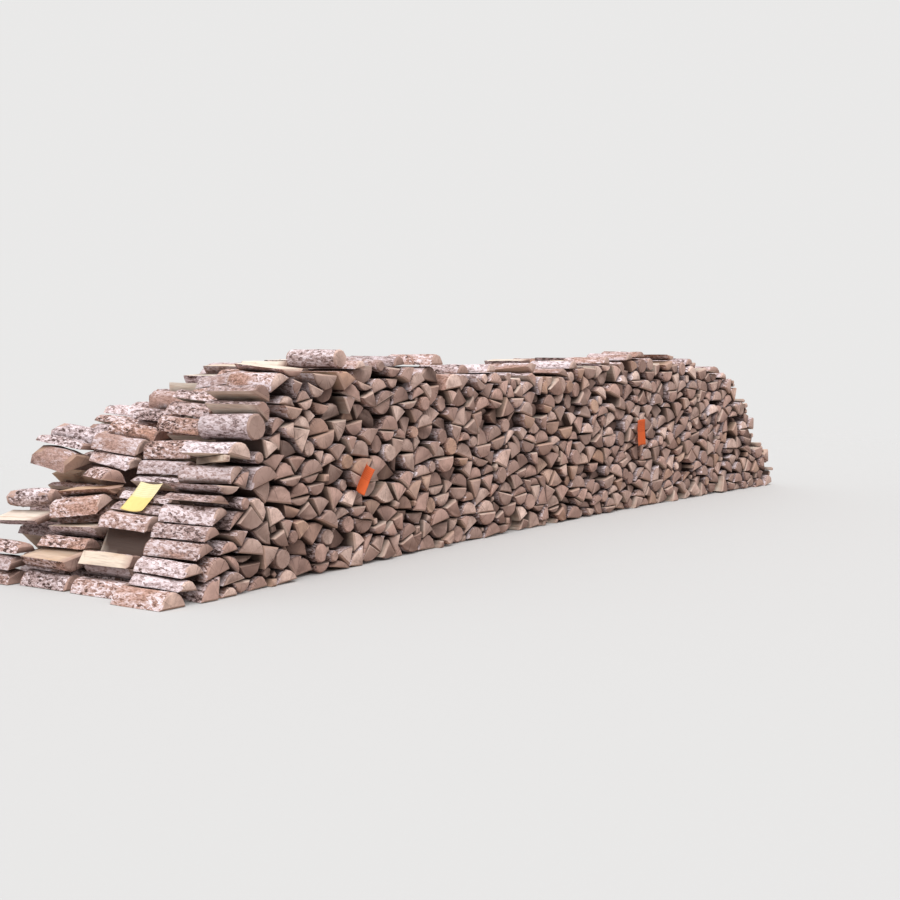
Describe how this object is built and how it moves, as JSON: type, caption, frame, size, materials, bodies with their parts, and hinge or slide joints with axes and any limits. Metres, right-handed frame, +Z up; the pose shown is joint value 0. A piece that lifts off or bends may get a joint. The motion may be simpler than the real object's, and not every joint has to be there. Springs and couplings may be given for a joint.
{
  "type": "stack of logs",
  "caption": "Long free-standing pile of split firewood in rows, logs laid across it, with sloping ends, a bowed front and paper tags.",
  "frame": {"origin": "middle of the pile's underside, on the ground", "axes": "+X runs along the rows from the long sloping end, +Y goes back through the rows from the front face, and +Z is up"},
  "size_m": [8.2344, 1.931, 1.3459],
  "materials": {
    "split_wood": "matte",
    "hidden_wood": "matte",
    "orange_paper": "matte",
    "yellow_paper": "matte"
  },
  "bodies": {
    "root": {"front_row_bay_1": "split_wood", "front_row_bay_2": "split_wood", "front_row_bay_3": "split_wood", "front_row_bay_4": "split_wood", "second_row_logs": "split_wood", "third_row_logs": "split_wood", "back_row_logs": "split_wood", "hidden_core": "hidden_wood", "orange_tag_left": "orange_paper", "orange_tag_right": "orange_paper", "yellow_tag": "yellow_paper"}
  },
  "joints": []
}
